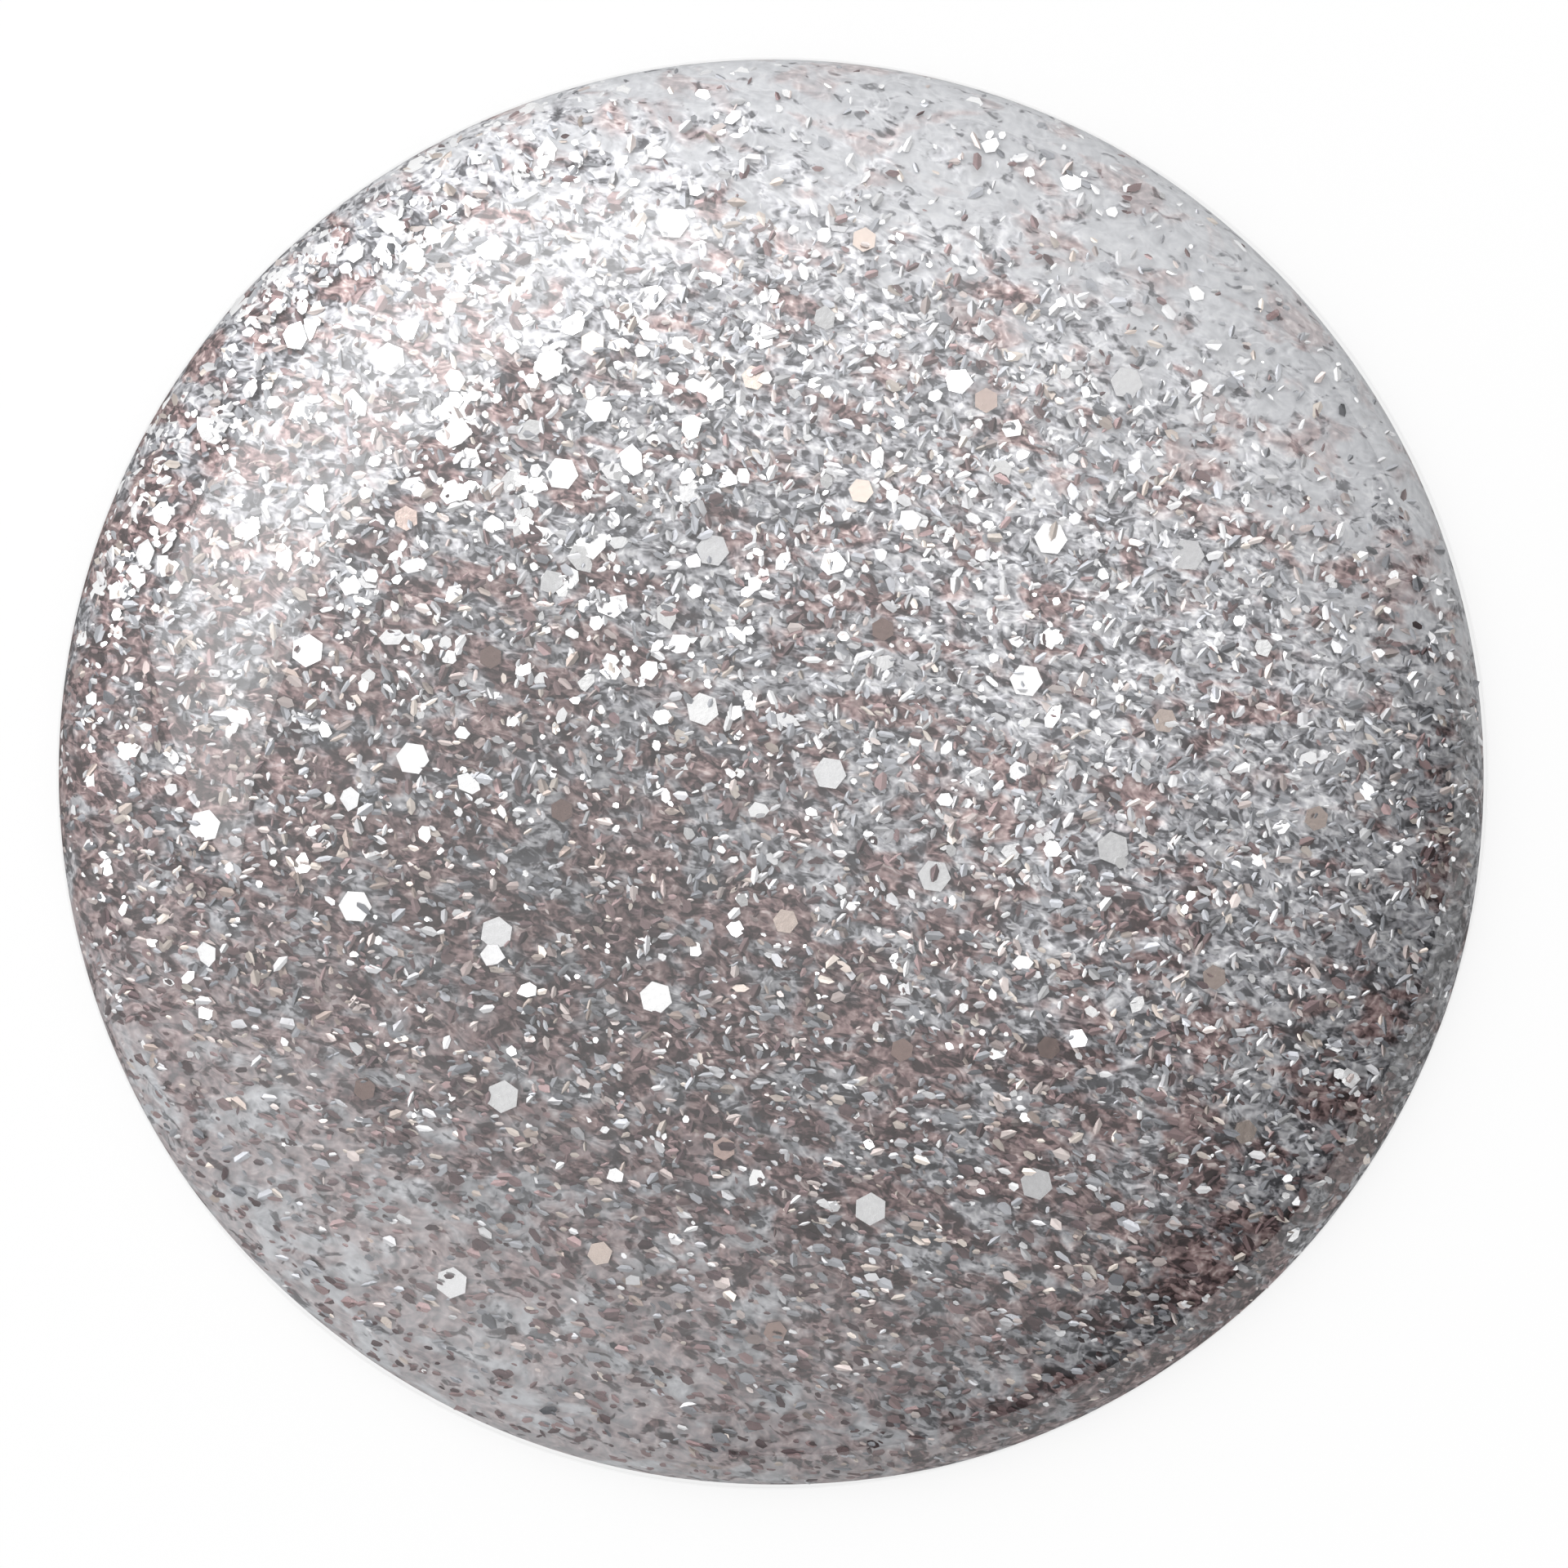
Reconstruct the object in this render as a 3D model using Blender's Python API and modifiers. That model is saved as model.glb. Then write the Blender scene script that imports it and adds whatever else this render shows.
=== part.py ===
"""A cured drop of glitter nail polish: a tinted pool, glitter flakes lying on it and a clear gloss layer."""

import math
import random

import bpy
from mathutils import Matrix, Vector

MM = 0.001

# Drop
DROP_DIAMETER = 18.0 * MM
DROP_HEIGHT = 2.2 * MM
TURN_STEPS = 72
PROFILE_STEPS = 18
SEAM_MERGE = 0.001 * MM

# Clear gloss layer
GLOSS_THICKNESS = 0.1 * MM
GLOSS_EDGE_THICKNESS = 0.05 * MM

# Flakes and the bed that they lie in
BED_EDGE_DEPTH = 0.05 * MM
FLAKE_THICKNESS = 0.03 * MM
FLAKE_CLEARANCE = 0.035 * MM
FLAKE_SIDES = 6
MAX_TILT = math.radians(6.0)
EDGE_MARGIN = 1.3 * MM
SCATTER_JITTER = 0.35 * MM
SCATTER_SEED = 7
SILVER_SIZE = 0.42 * MM
SILVER_COUNT = 22
ROSE_SIZE = 0.32 * MM
ROSE_COUNT = 12
BRONZE_SIZE = 0.3 * MM
BRONZE_COUNT = 8

# Derived sizes
DROP_RADIUS = DROP_DIAMETER / 2
LARGEST_FLAKE = max(SILVER_SIZE, ROSE_SIZE, BRONZE_SIZE)
BED_DEPTH = FLAKE_THICKNESS + LARGEST_FLAKE * math.sin(MAX_TILT) + 2 * FLAKE_CLEARANCE
BED_RADIUS = DROP_RADIUS - EDGE_MARGIN + LARGEST_FLAKE / 2 + FLAKE_CLEARANCE
FLAKE_DEPTH = GLOSS_THICKNESS + BED_DEPTH / 2
GOLDEN_ANGLE = math.pi * (3.0 - math.sqrt(5.0))


def clear_scene():
    for obj in list(bpy.data.objects):
        bpy.data.objects.remove(obj, do_unlink=True)


def new_collection(name):
    collection = bpy.data.collections.new(name)
    bpy.context.scene.collection.children.link(collection)
    return collection


def new_material(name, color, roughness, metallic=0.0, alpha=1.0):
    material = bpy.data.materials.new(name)
    material.use_nodes = True
    shader = material.node_tree.nodes["Principled BSDF"]
    shader.inputs["Base Color"].default_value = (*color, 1.0)
    shader.inputs["Roughness"].default_value = roughness
    shader.inputs["Metallic"].default_value = metallic
    shader.inputs["Alpha"].default_value = alpha
    return material


def dome_normal(turn):
    """Outward direction of the dome, as its share outwards and its share upwards.

    The dome is a puddle's outline: nearly flat on top, round at the edge and upright at the table.
    The turn runs from 0 at the crown to a quarter circle at the table.
    """
    outward = 2.0 * math.sin(turn) ** 1.5 / DROP_RADIUS
    upward = math.cos(turn) / DROP_HEIGHT
    length = math.hypot(outward, upward)
    return outward / length, upward / length


def surface_radius(turn):
    """Distance from the axis of the shiny surface."""
    return DROP_RADIUS * math.sqrt(math.sin(turn))


def dome_point(turn, depth):
    """Distance from the axis and height of the point that lies a depth below the shiny surface."""
    outward, upward = dome_normal(turn)
    radius = surface_radius(turn) - depth * outward
    height = DROP_HEIGHT * math.cos(turn) - depth * upward
    return radius, height


def edge_share(radius):
    """Share of the way from the rim of the flakes' bed to the edge of the drop, eased at both ends."""
    share = max(0.0, (radius - BED_RADIUS) / (DROP_RADIUS - BED_RADIUS))
    return share * share * (3.0 - 2.0 * share)


def gloss_depth(radius):
    """Thickness of the gloss layer, which thins towards the edge."""
    return GLOSS_THICKNESS + (GLOSS_EDGE_THICKNESS - GLOSS_THICKNESS) * edge_share(radius)


def pool_depth(radius):
    """Depth of the pool's top below the shiny surface: under the bed, which narrows outside the flakes."""
    return gloss_depth(radius) + BED_DEPTH + (BED_EDGE_DEPTH - BED_DEPTH) * edge_share(radius)


def dome_profile(depth_at):
    """Points of the dome at a depth below the shiny surface, from the axis down to the table."""
    points = [(0.0, DROP_HEIGHT - depth_at(0.0))]
    for step in range(1, PROFILE_STEPS):
        turn = math.pi / 2 * step / PROFILE_STEPS
        points.append(dome_point(turn, depth_at(surface_radius(turn))))
    points.append((DROP_RADIUS - depth_at(DROP_RADIUS), 0.0))
    return points


def turned(name, profile, material, collection):
    """A solid turned about the Z axis from a profile that starts and ends on that axis."""
    mesh = bpy.data.meshes.new(name)
    edges = [(index, index + 1) for index in range(len(profile) - 1)]
    mesh.from_pydata([(radius, 0.0, height) for radius, height in profile], edges, [])
    mesh.materials.append(material)
    obj = bpy.data.objects.new(name, mesh)
    collection.objects.link(obj)
    screw = obj.modifiers.new("turn", "SCREW")
    screw.axis = "Z"
    screw.angle = 2.0 * math.pi
    screw.steps = TURN_STEPS
    screw.render_steps = TURN_STEPS
    screw.use_merge_vertices = True
    screw.merge_threshold = SEAM_MERGE
    screw.use_smooth_shade = True
    return obj


def build_pool(material, collection):
    profile = dome_profile(pool_depth) + [(0.0, 0.0)]
    return turned("tinted_lacquer_pool", profile, material, collection)


def build_gloss(material, collection):
    outside = dome_profile(lambda radius: 0.0)
    underside = dome_profile(gloss_depth)
    return turned("clear_gloss_layer", outside + underside[::-1], material, collection)


def flake_frame(radius, around, rng):
    """Place of a flake: in the middle of the bed, level with the dome there, tipped a little and spun."""
    turn = math.asin((radius / DROP_RADIUS) ** 2)
    outward, upward = dome_normal(turn)
    reach, height = dome_point(turn, FLAKE_DEPTH)
    place = Matrix.Rotation(around, 4, "Z") @ Matrix.Translation(Vector((reach, 0.0, height)))
    lean = Matrix.Rotation(math.atan2(outward, upward), 4, "Y")
    tip_axis = Matrix.Rotation(rng.uniform(0.0, 2.0 * math.pi), 4, "Z") @ Vector((1.0, 0.0, 0.0))
    tip = Matrix.Rotation(rng.uniform(0.0, MAX_TILT), 4, tip_axis)
    spin = Matrix.Rotation(rng.uniform(0.0, 2.0 * math.pi), 4, "Z")
    return place @ lean @ tip @ spin


def build_flake(name, size, frame, material, collection):
    bpy.ops.mesh.primitive_cylinder_add(vertices=FLAKE_SIDES, radius=size / 2, depth=FLAKE_THICKNESS)
    flake = bpy.context.object
    flake.name = name
    flake.data.name = name
    flake.data.materials.append(material)
    for owner in list(flake.users_collection):
        owner.objects.unlink(flake)
    collection.objects.link(flake)
    flake.matrix_world = frame
    return flake


def build_flakes(grades, collection):
    """Flakes of every grade, mixed and spread evenly over the bed."""
    rng = random.Random(SCATTER_SEED)
    flakes = []
    for name, size, count, material in grades:
        flakes += [(f"{name}_{number:02d}", size, material) for number in range(1, count + 1)]
    rng.shuffle(flakes)
    limit = DROP_RADIUS - EDGE_MARGIN - SCATTER_JITTER
    built = []
    for index, (name, size, material) in enumerate(flakes):
        radius = limit * math.sqrt((index + 0.5) / len(flakes))
        radius = abs(radius + rng.uniform(-SCATTER_JITTER, SCATTER_JITTER))
        frame = flake_frame(radius, index * GOLDEN_ANGLE, rng)
        built.append(build_flake(name, size, frame, material, collection))
    return built


def main():
    clear_scene()
    parts = new_collection("nail_polish_drop")
    tinted = new_material("tinted_lacquer", (0.33, 0.28, 0.3), 0.35)
    clear = new_material("clear_lacquer", (0.9, 0.9, 0.91), 0.05, alpha=0.25)
    silver = new_material("silver_film", (0.82, 0.82, 0.84), 0.2, metallic=1.0)
    rose = new_material("rose_film", (0.72, 0.5, 0.48), 0.25, metallic=1.0)
    bronze = new_material("bronze_film", (0.36, 0.25, 0.22), 0.3, metallic=1.0)
    pool = build_pool(tinted, parts)
    gloss = build_gloss(clear, parts)
    grades = [
        ("silver_flake", SILVER_SIZE, SILVER_COUNT, silver),
        ("rose_flake", ROSE_SIZE, ROSE_COUNT, rose),
        ("bronze_flake", BRONZE_SIZE, BRONZE_COUNT, bronze),
    ]
    for piece in [gloss] + build_flakes(grades, parts):
        piece.parent = pool


main()
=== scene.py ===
"""Dresses the drop of glitter nail polish: marbled lacquer, cut film glitter and a clear gloss skin.

A side is an angle in degrees from the photo's right towards its top. Places on the drop and reaches from
them are in radii of the drop. A noise is its grain per millimetre, its detail and its distortion.
"""

import math

import bpy
import numpy as np
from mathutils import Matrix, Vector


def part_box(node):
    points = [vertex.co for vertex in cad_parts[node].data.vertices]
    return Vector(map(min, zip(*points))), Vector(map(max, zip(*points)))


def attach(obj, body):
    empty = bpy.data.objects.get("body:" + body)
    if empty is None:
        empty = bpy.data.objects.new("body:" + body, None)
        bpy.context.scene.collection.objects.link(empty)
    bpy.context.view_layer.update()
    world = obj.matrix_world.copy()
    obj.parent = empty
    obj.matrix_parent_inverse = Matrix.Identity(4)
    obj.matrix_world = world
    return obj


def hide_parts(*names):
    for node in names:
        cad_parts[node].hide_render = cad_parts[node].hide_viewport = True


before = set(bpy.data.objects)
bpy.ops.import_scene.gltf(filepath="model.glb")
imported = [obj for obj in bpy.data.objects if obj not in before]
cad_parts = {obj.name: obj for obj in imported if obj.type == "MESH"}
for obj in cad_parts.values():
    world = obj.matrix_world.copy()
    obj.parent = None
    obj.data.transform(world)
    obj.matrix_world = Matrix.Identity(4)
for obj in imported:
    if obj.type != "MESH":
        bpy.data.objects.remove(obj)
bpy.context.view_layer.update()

MM = 0.001

# Photograph: image side, radius of the round outline and its centre, in pixels
IMAGE_SIDE = 1920.0
OUTLINE_RADIUS_PX = 876.9
OUTLINE_CENTRE_PX = (946.0, 946.9)

# Drop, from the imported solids
DROP_RADIUS = float(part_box("clear_gloss_layer")[1][0])
DROP_HEIGHT = float(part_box("clear_gloss_layer")[1][2])
SKIN_THICKNESS = 0.015 * MM
RINGS = 72
SECTORS = 256
SHARP_EDGE = math.radians(50.0)

# Glitter bed: depths below the shiny surface, and where the bed starts to thin out
POOL_DEPTH_CROWN = DROP_HEIGHT - float(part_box("tinted_lacquer_pool")[1][2])
POOL_DEPTH_RIM = 0.03 * MM
BED_SHARE = 0.88
FLAKE_LIFT = 0.16 * MM
SHALLOWEST_FLAKE = 0.018 * MM
EDGE_CLEARANCE = 0.03 * MM

# Clear lip along the edge: its width, then each stretch's side and cosines where it starts and is full
CLEAR_LIP_EXTRA = 0.035 * MM
CLEAR_LIPS = [(22.0, 0.75, 0.95), (250.0, 0.8, 0.97)]

# Loose flakes: grades as share of the count and size range in millimetres
SLIVER_COUNT = 14500
SLIVER_GRADES = [(0.65, 0.09, 0.16), (0.35, 0.16, 0.28)]
SLIVER_SLIM = (0.3, 0.65)
SLIVER_FOLD = (math.radians(4.0), math.radians(20.0))
SLIVER_TILT = math.radians(9.0)
SPARK_COUNT = 12000
SPARK_GRADES = [(0.52, 0.06, 0.12), (0.36, 0.12, 0.24), (0.12, 0.24, 0.42)]
SPARK_SLIM = (0.6, 1.0)
SPARK_TILT = math.radians(8.0)
SEED = 20

# Form of a loose flake: how its corners, fold and keel differ from a flat regular plate, and its map cell
FLAKE_SIDES = 6
CORNER_JITTER = 0.2
CORNER_REACH = (0.7, 1.05)
FOLD_CORNERS = [0, 3]
FOLD_RISE = 0.4
KEEL_DEPTH = 0.1
CELL_ROOM = 1.3

# How far flakes lean with the dome, and the smallest angle between the two that counts
LEAN_SHARE = 0.36
LEAST_ANGLE = 1e-6

# Share of the loose flakes that lie over a packed flake instead of making room for it, and their lift
OVERLAP_SHARE = 0.12
OVERLAP_LIFT = (0.8, 1.0)

# Soft blobs that gather flakes: how many waves make them, and the waves' lengths in millimetres
BLOB_WAVES = 14
BLOB_PITCH = (0.7, 2.2)

# Side where the silver gathers, and how far it takes to turn to brown; the same lead paints light on the
# silver side and shade on the brown side
SILVER_AND_PAINTED_LIGHT_SIDE = 52.0
SILVER_TURN = 0.5

# Painted shade, where lacquer and slivers are painted darker: one place with its reach, and one rim as side,
# start and full depth
PAINTED_SHADE_HOME = (-0.25, -0.18)
PAINTED_SHADE_REACH = 0.62
PAINTED_SHADE_RIM = (352.0, 0.78, 0.95)

# Side where the lacquer flowed calmly, with fewer bright flakes and the slivers drawn along the flow
CALM_SIDE = 262.0
CALM_FULL = 0.8
FLOW_WAY = math.radians(-18.0)
FLOW_SPREAD = math.radians(17.0)
FLOW_DRAW = 1.3

# Milky lacquer that hides glitter, its light grey also a painted hazy reflection: side, start and full depth
# of each zone, its cover and its ragged edge
MILK_AND_PAINTED_HAZE_ZONES = [(50.0, 0.64, 0.88), (76.0, 0.64, 0.88), (242.0, 0.46, 1.0)]
MILK_AND_PAINTED_HAZE_COVER = 0.78
MILK_AND_PAINTED_HAZE_NOISE = (2.6, 4.0)
MILK_AND_PAINTED_HAZE_RAGGED = 0.9

# Share of warm slivers, and how the silver side, the blobs and the calm side change it
WARM_SHARE = 0.44
WARM_BY_SILVER = -0.17
WARM_BY_BLOB = 0.3
WARM_BY_CALM = 0.1
WARM_LIMITS = (0.03, 0.9)

# Tone added to the slivers, and how the silver side, the calm side and the painted shade change it; the
# silver side's change is painted light there and painted shade on the brown side
SLIVER_TONE = 0.1
PAINTED_LIGHT_TONE_BY_SILVER = 0.19
TONE_BY_CALM = 0.02
TONE_BY_PAINTED_SHADE = -0.1

# Share and its change on the calm side: bright among cool slivers; rosy, and rosy or tan, among warm ones
BRIGHT_SHARE = (0.5, -0.22)
ROSY_SHARE = (0.25, -0.1)
TAN_SHARE = (0.45, -0.14)

# Slivers: name, share of the milk that still hides them on the calm side, darkest and lightest colour, slot
SLIVER_KINDS = [
    ("silver_glitter", 1.0, (0.4, 0.4, 0.42), (0.84, 0.84, 0.85), "silver_film"),
    ("steel_glitter", 0.4, (0.14, 0.145, 0.16), (0.45, 0.46, 0.49), "silver_film"),
    ("rose_glitter", 1.0, (0.32, 0.26, 0.25), (0.73, 0.65, 0.625), "rose_film"),
    ("tan_glitter", 1.0, (0.3, 0.24, 0.215), (0.73, 0.66, 0.6), "rose_film"),
    ("umber_glitter", 0.1, (0.07, 0.048, 0.052), (0.29, 0.205, 0.205), "bronze_film"),
]
SLIVER_ROUGH = (0.24, 0.42)

# Sparks, the mirror flakes: where they gather, how far they spread from there and which way they face
SPARK_HOME = (-0.36, 0.53)
SPARK_REACH = 0.38
SPARK_FACING = (-0.07, 0.07)

# Room that sparks keep for growth, and their growth: everywhere, and added at their home
SPARK_ROOM = 1.25
SPARK_GROWTH = (0.8, 0.45)

# Rim where sparks crowd, and the start of the ring inside it where they thin out
SPARK_EDGE = (0.86, 0.94)
SPARK_RING = (0.64, 0.74)

# Chance of a spark far from their home and close to it, and what changes each
SPARK_CHANCE = 0.13
CHANCE_BY_RING = -0.04
CHANCE_BY_CALM = -0.1
CHANCE_BY_PAINTED_SHADE = -0.07
HOME_CHANCE = 0.42
HOME_BY_EDGE = 2.4
HOME_BY_RING = -0.26
HOME_BLOBS = (0.6, 0.7)

# Film of the sparks: darkest and lightest colour, and roughness
SPARK_COLORS = ((0.84, 0.84, 0.85), (0.97, 0.97, 0.97))
SPARK_ROUGH = (0.1, 0.24)

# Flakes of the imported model: darkest colour, lightest colour and metal share
CAD_FILMS = {
    "silver": ((0.6, 0.6, 0.61), (0.97, 0.97, 0.97), 0.75),
    "rose": ((0.42, 0.33, 0.3), (0.78, 0.67, 0.6), 1.0),
    "bronze": ((0.16, 0.11, 0.1), (0.4, 0.3, 0.27), 1.0),
}
CAD_FILM_ROUGH = (0.12, 0.3)

# Scuffs on the film: their noise, how much they change the tone, and their bump
SCUFF_NOISE = (14.0, 3.0)
SCUFF_TONE = 0.3
SCUFF_RANGE = (0.25, 0.75)
SCUFF_STRENGTH = 0.15
SCUFF_DEPTH = 0.02 * MM

# Marbled lacquer: warm patches, dark chips, light threads and fine grain, and the light that each adds
PATCH_NOISE = (1.6, 3.0, 0.6)
PATCH_BY_SILVER = -0.07
PATCH_EDGE = (0.46, 0.56)
PATCH_MILK_AND_PAINTED_HAZE = 0.7
CHIP_NOISE = (4.6, 3.0, 0.7)
CHIP_BY_MILK_AND_PAINTED_HAZE = -0.15
CHIP_EDGE = (0.485, 0.545)
CHIP_MILK_AND_PAINTED_HAZE = 0.3
CHIP_LIGHT = (0.23, -0.16)
THREAD_NOISE = (3.0, 2.0, 1.4)
THREAD_TURNS = 3.2
THREAD_FOLD = 0.5
FINE_NOISE = (9.0, 2.0)
FINE_MIDDLE = 0.45
FINE_LIGHT = 1.3
# Painted light and shade on the lacquer by side: lighter on the silver side, dimmed towards the brown side
PAINTED_LIGHT_BY_SILVER = 0.09
PAINTED_SHADE_BY_SILVER = (0.72, 1.06)
# How far the painted shade dims the lacquer
DIM_BY_PAINTED_SHADE = 0.66
COOL_TONES = [
    (0.1, (0.09, 0.09, 0.1)),
    (0.4, (0.36, 0.36, 0.385)),
    (0.75, (0.63, 0.63, 0.655)),
    (1.0, (0.87, 0.87, 0.88)),
]
WARM_TONES = [
    (0.1, (0.055, 0.035, 0.036)),
    (0.4, (0.235, 0.152, 0.153)),
    (0.75, (0.48, 0.355, 0.345)),
    (1.0, (0.78, 0.67, 0.65)),
]
# Light grey of the milky lacquer, which also paints a hazy reflection
MILK_AND_PAINTED_HAZE_COLOR = (0.54, 0.55, 0.572, 1.0)

# Facets of the marbled lacquer: pull towards level, noise, and swing, relief and metal from clear to milky,
# where the haze is painted
FACET_PULL = 0.6
FACET_NOISE = (5.0, 3.0, 0.8)
FACET_SWING = (1.5, 0.1)
THREAD_RELIEF = (0.4, 0.05)
THREAD_DEPTH = 0.02 * MM
POOL_METAL = (0.75, 0.0)

# Roughness of the marbled lacquer along its fine grain
POOL_ROUGH = (0.3, 0.5)

# Gloss skin: waves, roughness, refraction, and shares of a grey tint that paints shade on the steep edge and
# of mirror, from a steep slope to a level one
WAVE_NOISE = (0.5, 1.0)
WAVE_STRENGTH = 0.08
WAVE_DEPTH = 0.05 * MM
SKIN_NOISE = (5.0, 4.0)
SKIN_ROUGH = (0.005, 0.025)
SKIN_IOR = 1.88
PAINTED_EDGE_SHADE_SHARES = (0.94, 1.0)
PAINTED_EDGE_SHADE_LEVELS = (0.1, 0.45)
MIRROR_SHARES = (0.15, 1.0)
MIRROR_LEVELS = (0.25, 0.85)

# Lamps: side, angle from the zenith, distance, width, height and radiance, in degrees and metres
LAMPS = {
    "key": (140.0, 38.0, 0.5, 0.47, 0.32, 1.36),
    "spark": (136.0, 44.0, 0.06, 0.05, 0.036, 0.8),
}

# Studio walls: their level, then each glow's aim, cosines where it starts and is full, and radiance
WALL_LEVEL = 0.08
GLOWS = [
    ((108.0, 30.0), 0.05, 0.95, 0.62),
    ((134.0, 19.0), 0.86, 0.995, 0.75),
    ((58.0, 48.0), 0.7, 0.98, 0.55),
    ((206.0, 70.0), 0.68, 1.0, 0.75),
    ((256.0, 50.0), 0.7, 1.0, 0.75),
    ((142.0, 78.0), 0.6, 1.0, 0.6),
]

# Floor
FLOOR_SIZE = 6.0
FLOOR_COLOR = (0.85, 0.85, 0.85, 1.0)
FLOOR_GLOW_SHARE = 0.85

# Camera
CAMERA_DISTANCE = 0.25
SENSOR = 36.0
CLIP_START = 0.01
CLIP_END = 20.0


def dome_normal(radius):
    """Outward and upward shares of the shiny surface's normal at a distance from the axis."""
    share = np.clip(radius / DROP_RADIUS, 0.0, 1.0) ** 2
    outward = 2.0 * share**1.5 / DROP_RADIUS
    upward = np.sqrt(np.maximum(1.0 - share**2, 0.0)) / DROP_HEIGHT
    length = np.hypot(outward, upward)
    return outward / length, upward / length


def dome_points(radius, around, depth):
    """Points a depth below the shiny surface, at a distance from the axis and an angle around it."""
    share = np.clip(radius / DROP_RADIUS, 0.0, 1.0) ** 2
    outward, upward = dome_normal(radius)
    reach = radius - depth * outward
    height = DROP_HEIGHT * np.sqrt(np.maximum(1.0 - share**2, 0.0)) - depth * upward
    return np.stack([reach * np.cos(around), reach * np.sin(around), height + 0.0 * around], axis=-1)


def smoothstep(low, high, value):
    share = np.clip((value - low) / (high - low), 0.0, 1.0)
    return share * share * (3.0 - 2.0 * share)


def clear_lip(around):
    """Share of the clear lip along the edge: widest on the right and at the lower left."""
    near = [(np.cos(around - math.radians(side)), start, full) for side, start, full in CLEAR_LIPS]
    return np.max([smoothstep(start, full, closeness) for closeness, start, full in near], axis=0)


def pool_depth(radius, around):
    """Depth of the pool's top below the shiny surface: deep at the crown and shallow at the edge."""
    rim = POOL_DEPTH_RIM + CLEAR_LIP_EXTRA * clear_lip(around)
    blend = smoothstep(BED_SHARE, 1.0, radius / DROP_RADIUS)
    return POOL_DEPTH_CROWN + (rim - POOL_DEPTH_CROWN) * blend


def ring_radii():
    turns = np.linspace(0.0, math.pi / 2, RINGS + 1)[1:]
    return DROP_RADIUS * np.sqrt(np.sin(turns))


def sector_angles():
    return np.linspace(0.0, 2.0 * math.pi, SECTORS, endpoint=False)


def linked(name, data):
    """A new object in the scene for a mesh, a light or a camera."""
    piece = bpy.data.objects.new(name, data)
    bpy.context.scene.collection.objects.link(piece)
    return piece


def turned_piece(name, rings, top, bottom):
    """A closed piece from rings of points that run from a top pole to a bottom pole."""
    count, sectors = rings.shape[0], rings.shape[1]
    points = np.concatenate([[top], rings.reshape(-1, 3), [bottom]])
    here = np.arange(sectors)
    after = (here + 1) % sectors
    faces = np.stack([np.zeros_like(here), 1 + here, 1 + after], axis=1).tolist()
    for ring in range(count - 1):
        low, high = 1 + ring * sectors, 1 + (ring + 1) * sectors
        faces += np.stack([low + here, high + here, high + after, low + after], axis=1).tolist()
    last = 1 + (count - 1) * sectors
    pole = np.full_like(here, len(points) - 1)
    faces += np.stack([pole, last + after, last + here], axis=1).tolist()
    mesh = bpy.data.meshes.new(name)
    mesh.from_pydata(points.tolist(), [], faces)
    mesh.shade_smooth()
    mesh.set_sharp_from_angle(angle=SHARP_EDGE)
    return linked(name, mesh)


def build_skin():
    around = sector_angles()[None, :]
    radii = ring_radii()[:, None]
    outside = dome_points(radii, around, 0.0)
    inside = dome_points(radii, around, SKIN_THICKNESS)[::-1]
    top = (0.0, 0.0, DROP_HEIGHT)
    bottom = (0.0, 0.0, DROP_HEIGHT - SKIN_THICKNESS)
    return turned_piece("gloss_skin", np.concatenate([outside, inside]), top, bottom)


def build_pool():
    around = sector_angles()[None, :]
    radii = ring_radii()[:, None]
    rings = dome_points(radii, around, pool_depth(radii, around))
    top = (0.0, 0.0, DROP_HEIGHT - POOL_DEPTH_CROWN)
    return turned_piece("glitter_pool", rings, top, (0.0, 0.0, 0.0))


def blobs(x, y, rng):
    """A smooth field of soft blobs, about -1 to 1, that gathers flakes."""
    field = np.zeros_like(x)
    for _ in range(BLOB_WAVES):
        pitch = rng.uniform(*BLOB_PITCH) * MM
        way = rng.uniform(0.0, 2.0 * math.pi)
        phase = rng.uniform(0.0, 2.0 * math.pi)
        field += np.sin(2.0 * math.pi * (x * math.cos(way) + y * math.sin(way)) / pitch + phase)
    return field / math.sqrt(BLOB_WAVES)


def towards(side, x, y):
    """How far a place lies towards a side, from -1 at the far edge to 1 at the near one."""
    turn = math.radians(side)
    return (x * math.cos(turn) + y * math.sin(turn)) / DROP_RADIUS


def from_home(home, x, y):
    """Distance of a place from a home, in radii."""
    return np.hypot(x / DROP_RADIUS - home[0], y / DROP_RADIUS - home[1])


def silver_and_painted_light_lead(x, y):
    """Lead of silver over brown at a place, from -1 to 1; it also sets painted light on the silver side and
    painted shade on the brown side.
    """
    return 2.0 * smoothstep(-SILVER_TURN, SILVER_TURN, towards(SILVER_AND_PAINTED_LIGHT_SIDE, x, y)) - 1.0


def painted_shade(x, y):
    """Share of painted shade at a place: one dark patch and the darker right-hand rim."""
    side, start, full = PAINTED_SHADE_RIM
    inner = smoothstep(0.0, 1.0, 1.0 - from_home(PAINTED_SHADE_HOME, x, y) / PAINTED_SHADE_REACH)
    return np.maximum(inner, smoothstep(start, full, towards(side, x, y)))


def milk_and_painted_haze(x, y):
    """Share of milky lacquer over the glitter at a place, its light grey also a painted hazy reflection."""
    near = [(towards(side, x, y), start, full) for side, start, full in MILK_AND_PAINTED_HAZE_ZONES]
    return np.max([smoothstep(start, full, closeness) for closeness, start, full in near], axis=0)


def calm(x, y):
    """Share of calm flow at a place."""
    return smoothstep(0.0, CALM_FULL, towards(CALM_SIDE, x, y))


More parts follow.
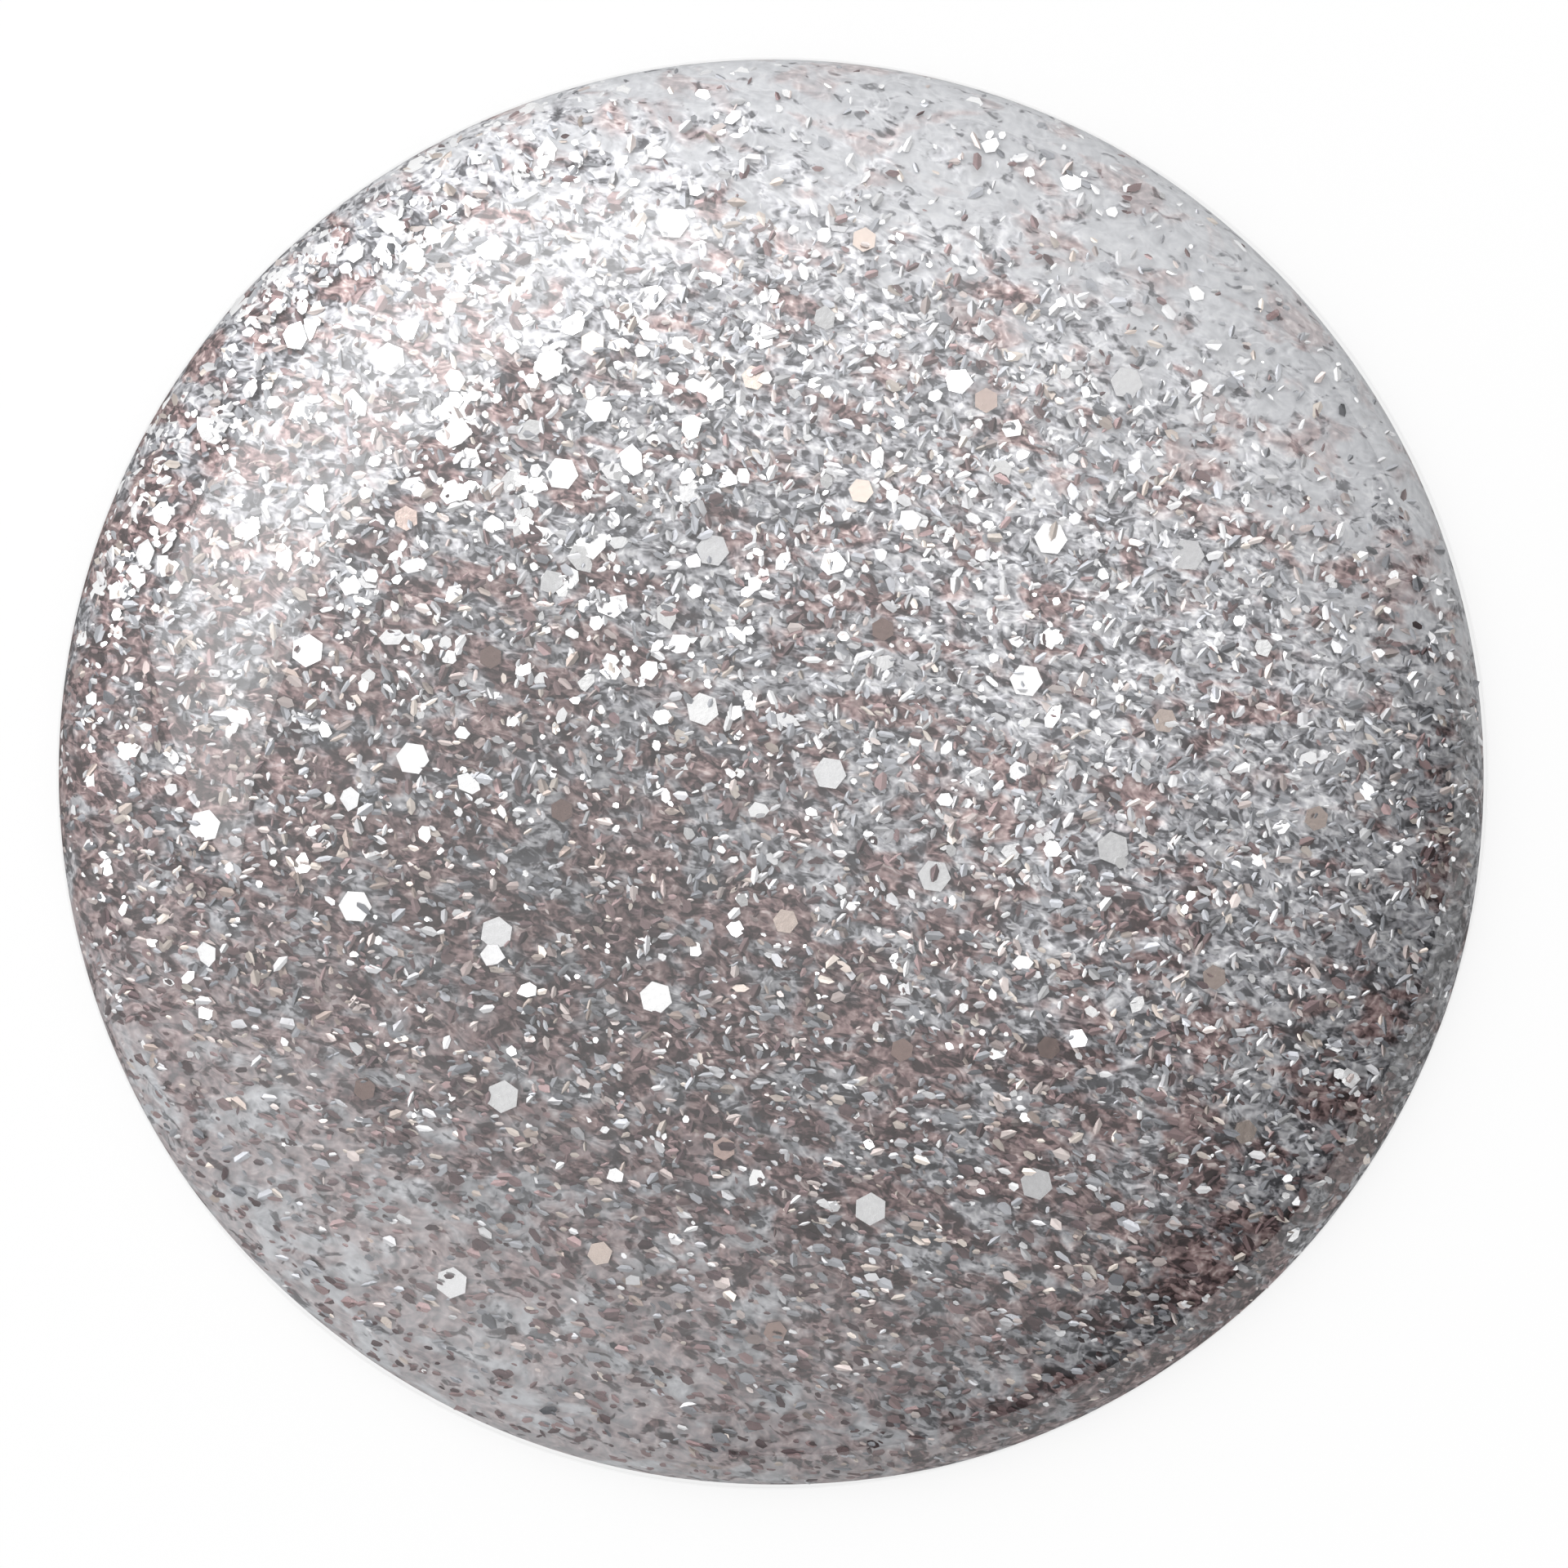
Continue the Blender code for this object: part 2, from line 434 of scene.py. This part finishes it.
def near_cad_flake(x, y, size):
    """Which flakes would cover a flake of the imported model, seen from above."""
    spots = []
    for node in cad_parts:
        if "_flake_" in node:
            low, high = (np.array(corner, float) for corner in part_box(node))
            spots.append((*(low + high)[:2] / 2, (high - low)[:2].max() / 2))
    spots = np.array(spots)
    apart = np.hypot(x[:, None] - spots[None, :, 0], y[:, None] - spots[None, :, 1])
    return np.any(apart < spots[None, :, 2] + size[:, None] / 2, axis=1)


def graded_sizes(count, grades, rng):
    shares, low, high = np.array(grades).T
    pick = rng.choice(len(grades), count, p=shares)
    return rng.uniform(low[pick], high[pick]) * MM


def unit(vectors):
    return vectors / np.linalg.norm(vectors, axis=1, keepdims=True)


def radial(around, outward, upward):
    """Vectors with an outward and an upward share, at an angle around the axis."""
    return np.stack([outward * np.cos(around), outward * np.sin(around), upward], axis=1)


def flake_normals(radius, around, tilt, facing, room):
    """Normals of flakes that lean with the dome and tip at random, and their angles to the dome's normals.

    The room is the steepest of those angles at which each flake stays in the bed.
    """
    outward, upward = dome_normal(radius)
    lean = LEAN_SHARE * np.arctan2(outward, upward)
    level = radial(around, np.sin(lean), np.cos(lean))
    side = np.stack([-np.sin(around), np.cos(around), np.zeros(len(around))], axis=1)
    down = np.cross(side, level)
    tipped = level + side * np.tan(tilt[:, :1]) + down * np.tan(tilt[:, 1:]) + np.array([*facing, 0.0])
    tipped = unit(tipped)
    dome = radial(around, outward, upward)
    angle = np.arccos(np.clip((tipped * dome).sum(axis=1), -1.0, 1.0))
    held = np.minimum(1.0, room / np.maximum(angle, LEAST_ANGLE))
    return unit(dome + (tipped - dome) * held[:, None]), angle * held


def scatter(size, spread, rng, facing=(0.0, 0.0)):
    """Place and axes of flakes in the bed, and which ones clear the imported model's own flakes."""
    count = len(size)
    around = rng.uniform(0.0, 2.0 * math.pi, count)
    limit = DROP_RADIUS - EDGE_CLEARANCE - CLEAR_LIP_EXTRA * clear_lip(around)
    radius = limit * np.sqrt(rng.uniform(0.0, 1.0, count))
    x, y = radius * np.cos(around), radius * np.sin(around)
    crowded = near_cad_flake(x, y, size)
    over = crowded & (rng.uniform(0.0, 1.0, count) < OVERLAP_SHARE)
    lift = np.where(over, rng.uniform(*OVERLAP_LIFT, count), rng.uniform(0.0, 1.0, count))
    tilt = rng.normal(0.0, spread, (count, 2))
    bed = pool_depth(radius, around)
    room = np.arcsin(np.clip(2.0 * (bed - SHALLOWEST_FLAKE) / size, 0.0, 1.0))
    normal, angle = flake_normals(radius, around, tilt, facing, room)
    shallowest = SHALLOWEST_FLAKE + size / 2 * np.sin(angle)
    place = dome_points(radius, around, np.maximum(bed - FLAKE_LIFT * lift, shallowest))
    spin = rng.uniform(0.0, 2.0 * math.pi, count)
    drawn = FLOW_WAY + math.pi / 2 + rng.normal(0.0, FLOW_SPREAD, count)
    spin = np.where(rng.uniform(0.0, 1.0, count) < calm(x, y), drawn, spin)
    first = unit(np.cross(np.stack([np.cos(spin), np.sin(spin), np.zeros(count)], axis=1), normal))
    axes = np.stack([first, np.cross(normal, first), normal], axis=2)
    return place, axes, ~crowded | over


def flake_piece(name, place, axes, size, slim, fold, tone, rng):
    """One piece of loose flakes: each is a closed plate, folded along its length, with a keel below."""
    count, sides = len(place), FLAKE_SIDES
    jitter = rng.uniform(-CORNER_JITTER, CORNER_JITTER, (count, sides))
    corner = (np.arange(sides)[None, :] + jitter) * 2.0 * math.pi / sides
    reach = size[:, None] / 2 * rng.uniform(*CORNER_REACH, (count, sides))
    local = np.zeros((count, sides + 1, 3))
    local[:, :sides, 0] = reach * np.cos(corner)
    local[:, :sides, 1] = reach * np.sin(corner) * slim[:, None]
    ridge = np.tan(fold) * slim * size * FOLD_RISE
    local[:, FOLD_CORNERS, 2] = ridge[:, None]
    local[:, sides, 2] = -KEEL_DEPTH * size
    points = place[:, None, :] + np.einsum("nij,nkj->nki", axes, local)
    base = np.arange(count)[:, None] * (sides + 1)
    here = np.arange(sides)
    after = (here + 1) % sides
    halves = np.array([[0, 1, 2, 3], [0, 3, 4, 5]])
    keel = np.stack([after, here, np.full(sides, sides)], axis=1)
    one = np.concatenate([halves.reshape(-1), keel.reshape(-1)])
    corners = (base + one[None, :]).reshape(-1)
    half_starts = halves.shape[1] * np.arange(len(halves))
    keel_starts = halves.size + keel.shape[1] * np.arange(sides)
    starts_of_one = np.concatenate([half_starts, keel_starts])
    starts = (np.arange(count)[:, None] * len(one) + starts_of_one[None, :]).reshape(-1)
    mesh = bpy.data.meshes.new(name)
    mesh.vertices.add(count * (sides + 1))
    mesh.vertices.foreach_set("co", points.reshape(-1))
    mesh.loops.add(len(corners))
    mesh.loops.foreach_set("vertex_index", corners)
    mesh.polygons.add(len(starts))
    mesh.polygons.foreach_set("loop_start", starts)
    mesh.update(calc_edges=True)
    mesh.validate()
    mesh.shade_flat()
    tones = mesh.attributes.new("tone", "FLOAT", "POINT")
    tones.data.foreach_set("value", np.repeat(tone, sides + 1))
    bake_cells(mesh, local[:, one, :2], size, halves.size)
    return linked(name, mesh)


def bake_cells(mesh, flat, size, face_corners):
    """A map with one cell for each flake: its face in the left half and its keel in the right half."""
    count = len(flat)
    across = math.ceil(math.sqrt(count / 2.0))
    down = math.ceil(count / across)
    spot = 0.5 + flat / (size[:, None, None] * CELL_ROOM)
    spot[:, face_corners:, 0] += 1.0
    index = np.arange(count)
    cell = np.stack([index % across, index // across], axis=1)[:, None, :]
    uv = (cell + spot * np.array([0.5, 1.0])) / np.array([across, down])
    layer = mesh.uv_layers.new(name="OFBake")
    layer.data.foreach_set("uv", uv.reshape(-1))


class Nodes:
    """A short way to write a material's or a world's nodes."""

    def __init__(self, owner):
        owner.use_nodes = True
        self.tree = owner.node_tree
        self.tree.nodes.clear()

    def add(self, kind, inputs=None, **settings):
        node = self.tree.nodes.new(kind)
        for key, value in settings.items():
            setattr(node, key, value)
        for key, value in (inputs or {}).items():
            if isinstance(value, bpy.types.NodeSocket):
                self.tree.links.new(value, node.inputs[key])
            else:
                node.inputs[key].default_value = value
        return node

    def math(self, operation, *values):
        return self.add("ShaderNodeMath", dict(enumerate(values)), operation=operation).outputs[0]

    def vector(self, operation, *values):
        return self.add("ShaderNodeVectorMath", dict(enumerate(values)), operation=operation).outputs

    def scaled(self, vector, share):
        wants = {0: vector, "Scale": share}
        return self.add("ShaderNodeVectorMath", wants, operation="SCALE").outputs[0]

    def grey(self, level):
        wants = {"Red": level, "Green": level, "Blue": level}
        return self.add("ShaderNodeCombineColor", wants).outputs[0]

    def ramp(self, factor, stops):
        node = self.add("ShaderNodeValToRGB", {"Fac": factor})
        points = node.color_ramp.elements
        while len(points) < len(stops):
            points.new(0.5)
        for point, (place, color) in zip(points, stops):
            point.position = place
            point.color = (*color, 1.0)
        return node.outputs["Color"]

    def spread(self, value, low, high, start=0.0, end=1.0):
        """The value moved from the range start to end into the range low to high, and kept inside it."""
        ends = {"Value": value, "From Min": start, "From Max": end, "To Min": low, "To Max": high}
        return self.add("ShaderNodeMapRange", ends).outputs["Result"]

    def noise(self, place, grain, detail, distortion=0.0):
        wants = {"Vector": place, "Scale": grain, "Detail": detail, "Distortion": distortion}
        return self.add("ShaderNodeTexNoise", wants).outputs

    def blend(self, share, first, second):
        wants = {"Factor": share, "A": first, "B": second}
        return self.add("ShaderNodeMix", wants, data_type="RGBA").outputs["Result"]

    def millimetres(self):
        return self.scaled(self.add("ShaderNodeTexCoord").outputs["Object"], 1.0 / MM)

    def surface(self, shader):
        self.add("ShaderNodeOutputMaterial", {"Surface": shader.outputs[0]})


def film_material(name, dark, light, rough, source, metal=1.0):
    """Metallised film: each flake has its own tone, with faint scuffs on it."""
    material = bpy.data.materials.new(name)
    n = Nodes(material)
    if source == "tone":
        tone = n.add("ShaderNodeAttribute", attribute_name="tone").outputs["Fac"]
    else:
        tone = n.add("ShaderNodeObjectInfo").outputs["Random"]
    scuff = n.noise(n.millimetres(), *SCUFF_NOISE)["Fac"]
    mixed = n.math("MULTIPLY_ADD", scuff, SCUFF_TONE, n.math("SUBTRACT", tone, SCUFF_TONE / 2))
    bump = n.add("ShaderNodeBump", {"Height": scuff, "Strength": SCUFF_STRENGTH, "Distance": SCUFF_DEPTH})
    shader = n.add(
        "ShaderNodeBsdfPrincipled",
        {
            "Base Color": n.ramp(mixed, [(0.0, dark), (1.0, light)]),
            "Roughness": n.spread(scuff, *rough, *SCUFF_RANGE),
            "Metallic": metal,
            "Normal": bump.outputs[0],
        },
    )
    n.surface(shader)
    return material


def towards_share(n, place, side):
    """The same as towards, as nodes, for a place in millimetres."""
    turn = math.radians(side)
    aim = (math.cos(turn) * MM / DROP_RADIUS, math.sin(turn) * MM / DROP_RADIUS, 0.0)
    return n.vector("DOT_PRODUCT", place, aim)["Value"]


def flow_place(n, place):
    """A place in millimetres, squeezed along the flow, so that patterns on it look drawn along the flow."""
    ahead, aside = math.cos(FLOW_WAY), math.sin(FLOW_WAY)
    along = n.vector("DOT_PRODUCT", place, (ahead / FLOW_DRAW, aside / FLOW_DRAW, 0.0))["Value"]
    across = n.vector("DOT_PRODUCT", place, (-aside * FLOW_DRAW, ahead * FLOW_DRAW, 0.0))["Value"]
    height = n.add("ShaderNodeSeparateXYZ", {0: place}).outputs["Z"]
    return n.add("ShaderNodeCombineXYZ", {"X": along, "Y": across, "Z": height}).outputs[0]


def painted_shade_share(n, place):
    """The painted shade again, as nodes."""
    side, start, full = PAINTED_SHADE_RIM
    home = [share * DROP_RADIUS / MM for share in PAINTED_SHADE_HOME]
    seen = n.vector("MULTIPLY", place, (1.0, 1.0, 0.0))[0]
    away = n.vector("DISTANCE", seen, (*home, 0.0))["Value"]
    inner = n.spread(away, 1.0, 0.0, 0.0, PAINTED_SHADE_REACH * DROP_RADIUS / MM)
    return n.math("MAXIMUM", inner, n.spread(towards_share(n, place, side), 0.0, 1.0, start, full))


def milk_and_painted_haze_share(n, place):
    """The milk zones and their painted haze again, as nodes, with a ragged edge."""
    swing = n.math("SUBTRACT", n.noise(place, *MILK_AND_PAINTED_HAZE_NOISE)["Fac"], 0.5)
    ragged = n.math("MULTIPLY", swing, MILK_AND_PAINTED_HAZE_RAGGED)
    cover = 0.0
    for side, start, full in MILK_AND_PAINTED_HAZE_ZONES:
        near = n.math("ADD", towards_share(n, place, side), ragged)
        cover = n.math("MAXIMUM", n.spread(near, 0.0, MILK_AND_PAINTED_HAZE_COVER, start, full), cover)
    return cover


def facet_normal(n, place, milky_and_painted_haze):
    """The surface's normal, pulled towards level and swung at random, less so in milky places with painted
    haze.
    """
    normal = n.add("ShaderNodeNewGeometry").outputs["Normal"]
    pulled = n.vector("ADD", normal, (0.0, 0.0, FACET_PULL))[0]
    swing = n.vector("SUBTRACT", n.noise(place, *FACET_NOISE)["Color"], (0.5, 0.5, 0.5))[0]
    swing = n.scaled(swing, n.spread(milky_and_painted_haze, *FACET_SWING))
    return n.vector("NORMALIZE", n.vector("ADD", pulled, swing)[0])[0]


def pool_material():
    """Lacquer marbled with micro glitter: light threads, dark chips, warm patches, milky places painted as a
    hazy reflection, and painted light and shade.
    """
    material = bpy.data.materials.new("marbled_glitter_lacquer")
    n = Nodes(material)
    place = n.millimetres()
    drawn = flow_place(n, place)
    silver = n.spread(towards_share(n, place, SILVER_AND_PAINTED_LIGHT_SIDE), -1.0, 1.0, -SILVER_TURN, SILVER_TURN)
    patch = n.noise(drawn, *PATCH_NOISE)["Fac"]
    patch = n.spread(n.math("MULTIPLY_ADD", silver, PATCH_BY_SILVER, patch), 0.0, 1.0, *PATCH_EDGE)
    cover = milk_and_painted_haze_share(n, place)
    chips = n.noise(drawn, *CHIP_NOISE)["Fac"]
    chips = n.spread(n.math("MULTIPLY_ADD", cover, CHIP_BY_MILK_AND_PAINTED_HAZE, chips), 0.0, 1.0, *CHIP_EDGE)
    kept = n.math("MULTIPLY", n.spread(patch, 1.0, PATCH_MILK_AND_PAINTED_HAZE), n.spread(chips, 1.0, CHIP_MILK_AND_PAINTED_HAZE))
    milky_and_painted_haze = n.math("MULTIPLY", cover, kept)
    curl = n.noise(drawn, *THREAD_NOISE)["Fac"]
    thread = n.math("PINGPONG", n.math("MULTIPLY", curl, THREAD_TURNS), THREAD_FOLD)
    grain = n.noise(place, *FINE_NOISE)["Fac"]
    light = n.math("ADD", thread, n.math("MULTIPLY", n.math("SUBTRACT", grain, FINE_MIDDLE), FINE_LIGHT))
    # Painted light: the lacquer is lighter towards the silver side and darker towards the brown side
    light = n.math("MULTIPLY_ADD", silver, PAINTED_LIGHT_BY_SILVER, light)
    light = n.math("ADD", light, n.spread(chips, *CHIP_LIGHT))
    marble = n.blend(patch, n.ramp(light, COOL_TONES), n.ramp(light, WARM_TONES))
    # Painted shade: the colour is dimmed towards the brown side
    dim = n.spread(silver, *PAINTED_SHADE_BY_SILVER, -1.0, 1.0)
    # Painted shade: the colour is dimmed further in the painted shade
    dim = n.math("MULTIPLY", dim, n.spread(painted_shade_share(n, place), 1.0, DIM_BY_PAINTED_SHADE))
    bump = n.add(
        "ShaderNodeBump",
        {
            "Height": thread,
            "Strength": n.spread(milky_and_painted_haze, *THREAD_RELIEF),
            "Distance": THREAD_DEPTH,
            "Normal": facet_normal(n, place, milky_and_painted_haze),
        },
    )
    shader = n.add(
        "ShaderNodeBsdfPrincipled",
        {
            # Milky light grey, which also paints a hazy reflection
            "Base Color": n.blend(milky_and_painted_haze, n.scaled(marble, dim), MILK_AND_PAINTED_HAZE_COLOR),
            "Roughness": n.spread(grain, *POOL_ROUGH),
            "Metallic": n.spread(milky_and_painted_haze, *POOL_METAL),
            "Normal": bump.outputs[0],
        },
    )
    n.surface(shader)
    return material


def skin_material():
    """Clear lacquer: see-through, with a mirror of the lights that fades on the steep edge, where a grey
    tint paints shade.
    """
    material = bpy.data.materials.new("clear_gloss")
    n = Nodes(material)
    place = n.millimetres()
    waves = n.noise(place, *WAVE_NOISE)["Fac"]
    bump = n.add("ShaderNodeBump", {"Height": waves, "Strength": WAVE_STRENGTH, "Distance": WAVE_DEPTH})
    mirror = n.add(
        "ShaderNodeBsdfPrincipled",
        {
            "Base Color": (1.0, 1.0, 1.0, 1.0),
            "Metallic": 1.0,
            "Roughness": n.spread(n.noise(place, *SKIN_NOISE)["Fac"], *SKIN_ROUGH),
            "Normal": bump.outputs[0],
        },
    )
    geometry = n.add("ShaderNodeNewGeometry").outputs
    level = n.math("ABSOLUTE", n.add("ShaderNodeSeparateXYZ", {0: geometry["Normal"]}).outputs["Z"])
    # Painted shade: the see-through skin is greyed on the steep edge
    painted_edge_shade = n.grey(n.spread(level, *PAINTED_EDGE_SHADE_SHARES, *PAINTED_EDGE_SHADE_LEVELS))
    clear = n.add("ShaderNodeBsdfTransparent", {"Color": painted_edge_shade})
    fresnel = n.add("ShaderNodeFresnel", {"IOR": SKIN_IOR, "Normal": bump.outputs[0]})
    gloss = n.math("MULTIPLY", fresnel.outputs[0], n.spread(level, *MIRROR_SHARES, *MIRROR_LEVELS))
    share = n.math("MULTIPLY", gloss, n.math("SUBTRACT", 1.0, geometry["Backfacing"]))
    n.surface(n.add("ShaderNodeMixShader", {0: share, 1: clear.outputs[0], 2: mirror.outputs[0]}))
    return material


def finish_piece(piece, material, slot, *nodes):
    piece.data.materials.clear()
    piece.data.materials.append(material)
    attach(piece, "root")
    if nodes:
        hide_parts(*nodes)


def build_slivers(rng):
    """Folded slivers by colour, warm ones gathered in blobs."""
    size = graded_sizes(SLIVER_COUNT, SLIVER_GRADES, rng)
    place, axes, keep = scatter(size, SLIVER_TILT, rng)
    x, y = place[:, 0], place[:, 1]
    silver = silver_and_painted_light_lead(x, y)
    milky_and_painted_haze, calmed = MILK_AND_PAINTED_HAZE_COVER * milk_and_painted_haze(x, y), calm(x, y)
    warmth = WARM_SHARE + WARM_BY_SILVER * silver + WARM_BY_BLOB * blobs(x, y, rng) + WARM_BY_CALM * calmed
    warm = rng.uniform(0.0, 1.0, SLIVER_COUNT) < np.clip(warmth, *WARM_LIMITS)
    pick = rng.uniform(0.0, 1.0, SLIVER_COUNT)
    # Painted light and shade in the slivers' tone: lighter on the silver side, darker on the brown side and
    # in the painted shade
    lighter = SLIVER_TONE + PAINTED_LIGHT_TONE_BY_SILVER * silver + TONE_BY_CALM * calmed + TONE_BY_PAINTED_SHADE * painted_shade(x, y)
    tone = np.clip(rng.uniform(0.0, 1.0, SLIVER_COUNT) + lighter, 0.0, 1.0)
    slim = rng.uniform(*SLIVER_SLIM, SLIVER_COUNT)
    fold = rng.uniform(*SLIVER_FOLD, SLIVER_COUNT)
    luck = rng.uniform(0.0, 1.0, SLIVER_COUNT)
    shares = (BRIGHT_SHARE, ROSY_SHARE, TAN_SHARE)
    bright, rosy, tan = (pick < share + by_calm * calmed for share, by_calm in shares)
    masks = [~warm & bright, ~warm & ~bright, warm & rosy, warm & tan & ~rosy, warm & ~tan]
    for mask, (name, hidden, dark, light, slot) in zip(masks, SLIVER_KINDS):
        own = mask & keep & (luck > milky_and_painted_haze * (1.0 - (1.0 - hidden) * calmed))
        piece = flake_piece(name, place[own], axes[own], size[own], slim[own], fold[own], tone[own], rng)
        finish_piece(piece, film_material(name + "_film", dark, light, SLIVER_ROUGH, "tone"), slot)


def build_sparks(rng):
    """Flat mirror-bright flakes, the ones that flash white."""
    size = graded_sizes(SPARK_COUNT, SPARK_GRADES, rng)
    place, axes, keep = scatter(SPARK_ROOM * size, SPARK_TILT, rng, SPARK_FACING)
    x, y = place[:, 0], place[:, 1]
    near = np.exp(-((from_home(SPARK_HOME, x, y) / SPARK_REACH) ** 2) / 2.0)
    size *= SPARK_GROWTH[0] + SPARK_GROWTH[1] * near
    from_axis = from_home((0.0, 0.0), x, y)
    edge = smoothstep(*SPARK_EDGE, from_axis)
    ring = smoothstep(*SPARK_RING, from_axis) - edge
    clusters = np.clip(HOME_BLOBS[0] + HOME_BLOBS[1] * blobs(x, y, rng), 0.0, 1.0)
    gathered = (HOME_CHANCE + HOME_BY_EDGE * edge + HOME_BY_RING * ring) * near * clusters
    chance = SPARK_CHANCE + CHANCE_BY_RING * ring + CHANCE_BY_CALM * calm(x, y)
    # Fewer sparks where the shade is painted
    chance = chance + CHANCE_BY_PAINTED_SHADE * painted_shade(x, y) + gathered
    chance = chance * (1.0 - MILK_AND_PAINTED_HAZE_COVER * milk_and_painted_haze(x, y))
    keep &= rng.uniform(0.0, 1.0, SPARK_COUNT) < chance
    slim = rng.uniform(*SPARK_SLIM, SPARK_COUNT)[keep]
    tone = rng.uniform(0.0, 1.0, SPARK_COUNT)[keep]
    unfolded = np.zeros(len(slim))
    piece = flake_piece("bright_glitter", place[keep], axes[keep], size[keep], slim, unfolded, tone, rng)
    film = film_material("bright_glitter_film", *SPARK_COLORS, SPARK_ROUGH, "tone")
    finish_piece(piece, film, "silver_film")


def dress_cad_flakes():
    """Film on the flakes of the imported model, by kind."""
    films = {}
    for kind, (dark, light, metal) in CAD_FILMS.items():
        films[kind] = film_material(kind + "_flake_film", dark, light, CAD_FILM_ROUGH, "object", metal)
    for node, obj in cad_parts.items():
        if "_flake_" in node:
            obj.data.materials.clear()
            obj.data.materials.append(films[node.split("_")[0]])


def direction(side, zenith):
    """A direction in the studio, from its side and its angle from the zenith, in degrees."""
    turn, drop = math.radians(side), math.radians(zenith)
    return math.sin(drop) * math.cos(turn), math.sin(drop) * math.sin(turn), math.cos(drop)


def softbox(name, side, zenith, distance, width, height, radiance):
    """A soft lamp that faces the drop."""
    light = bpy.data.lights.new(name, "AREA")
    light.shape = "RECTANGLE"
    light.size, light.size_y = width, height
    light.energy = radiance * math.pi * width * height
    lamp = linked(name, light)
    lamp.location = [distance * share for share in direction(side, zenith)]
    lamp.rotation_euler = (math.radians(zenith), 0.0, math.radians(side) + math.pi / 2)
    lamp.visible_camera = False


def build_world():
    """A grey studio with wide soft glows, white where the camera sees it."""
    world = bpy.data.worlds.new("studio")
    bpy.context.scene.world = world
    n = Nodes(world)
    way = n.add("ShaderNodeTexCoord").outputs["Generated"]
    level = WALL_LEVEL
    for aim, start, full, radiance in GLOWS:
        facing = n.vector("DOT_PRODUCT", way, direction(*aim))["Value"]
        level = n.math("ADD", n.spread(facing, 0.0, radiance, start, full), level)
    level = n.math("MAXIMUM", level, n.add("ShaderNodeLightPath").outputs["Is Camera Ray"])
    light = n.add("ShaderNodeBackground", {"Color": n.grey(level)})
    n.add("ShaderNodeOutputWorld", {"Surface": light.outputs[0]})


def build_lights():
    for name, settings in LAMPS.items():
        softbox(name, *settings)
    build_world()


def build_floor():
    """A pale floor that looks nearly white to the camera and in mirrors, with a faint shadow of the drop."""
    bpy.ops.mesh.primitive_plane_add(size=FLOOR_SIZE, location=(0.0, 0.0, 0.0))
    floor = bpy.context.object
    floor.name = "studio_floor"
    material = bpy.data.materials.new("studio_white")
    n = Nodes(material)
    diffuse = n.add("ShaderNodeBsdfDiffuse", {"Color": FLOOR_COLOR})
    glow = n.add("ShaderNodeEmission", {"Color": (1.0, 1.0, 1.0, 1.0), "Strength": 1.0})
    path = n.add("ShaderNodeLightPath").outputs
    seen = n.math("MAXIMUM", path["Is Camera Ray"], path["Is Glossy Ray"])
    seen = n.math("MAXIMUM", seen, path["Is Transmission Ray"])
    share = n.math("MULTIPLY", seen, FLOOR_GLOW_SHARE)
    n.surface(n.add("ShaderNodeMixShader", {0: share, 1: diffuse.outputs[0], 2: glow.outputs[0]}))
    floor.data.materials.append(material)


def build_camera():
    """Straight above the drop, placed so that the outline falls where the photo shows it."""
    metres_per_px = DROP_RADIUS / OUTLINE_RADIUS_PX
    data = bpy.data.cameras.new("camera")
    data.sensor_width = SENSOR
    data.lens = OUTLINE_RADIUS_PX / IMAGE_SIDE * SENSOR * CAMERA_DISTANCE / DROP_RADIUS
    data.clip_start = CLIP_START
    data.clip_end = CLIP_END
    camera = linked("camera", data)
    right = (IMAGE_SIDE / 2 - OUTLINE_CENTRE_PX[0]) * metres_per_px
    down = (IMAGE_SIDE / 2 - OUTLINE_CENTRE_PX[1]) * metres_per_px
    camera.location = (right, -down, CAMERA_DISTANCE)
    bpy.context.scene.camera = camera


bpy.context.scene.view_settings.view_transform = "Standard"
build_camera()
build_lights()
build_floor()
finish_piece(build_skin(), skin_material(), "clear_lacquer", "clear_gloss_layer")
finish_piece(build_pool(), pool_material(), "tinted_lacquer", "tinted_lacquer_pool")
glitter_rng = np.random.default_rng(SEED)
build_slivers(glitter_rng)
build_sparks(glitter_rng)
dress_cad_flakes()
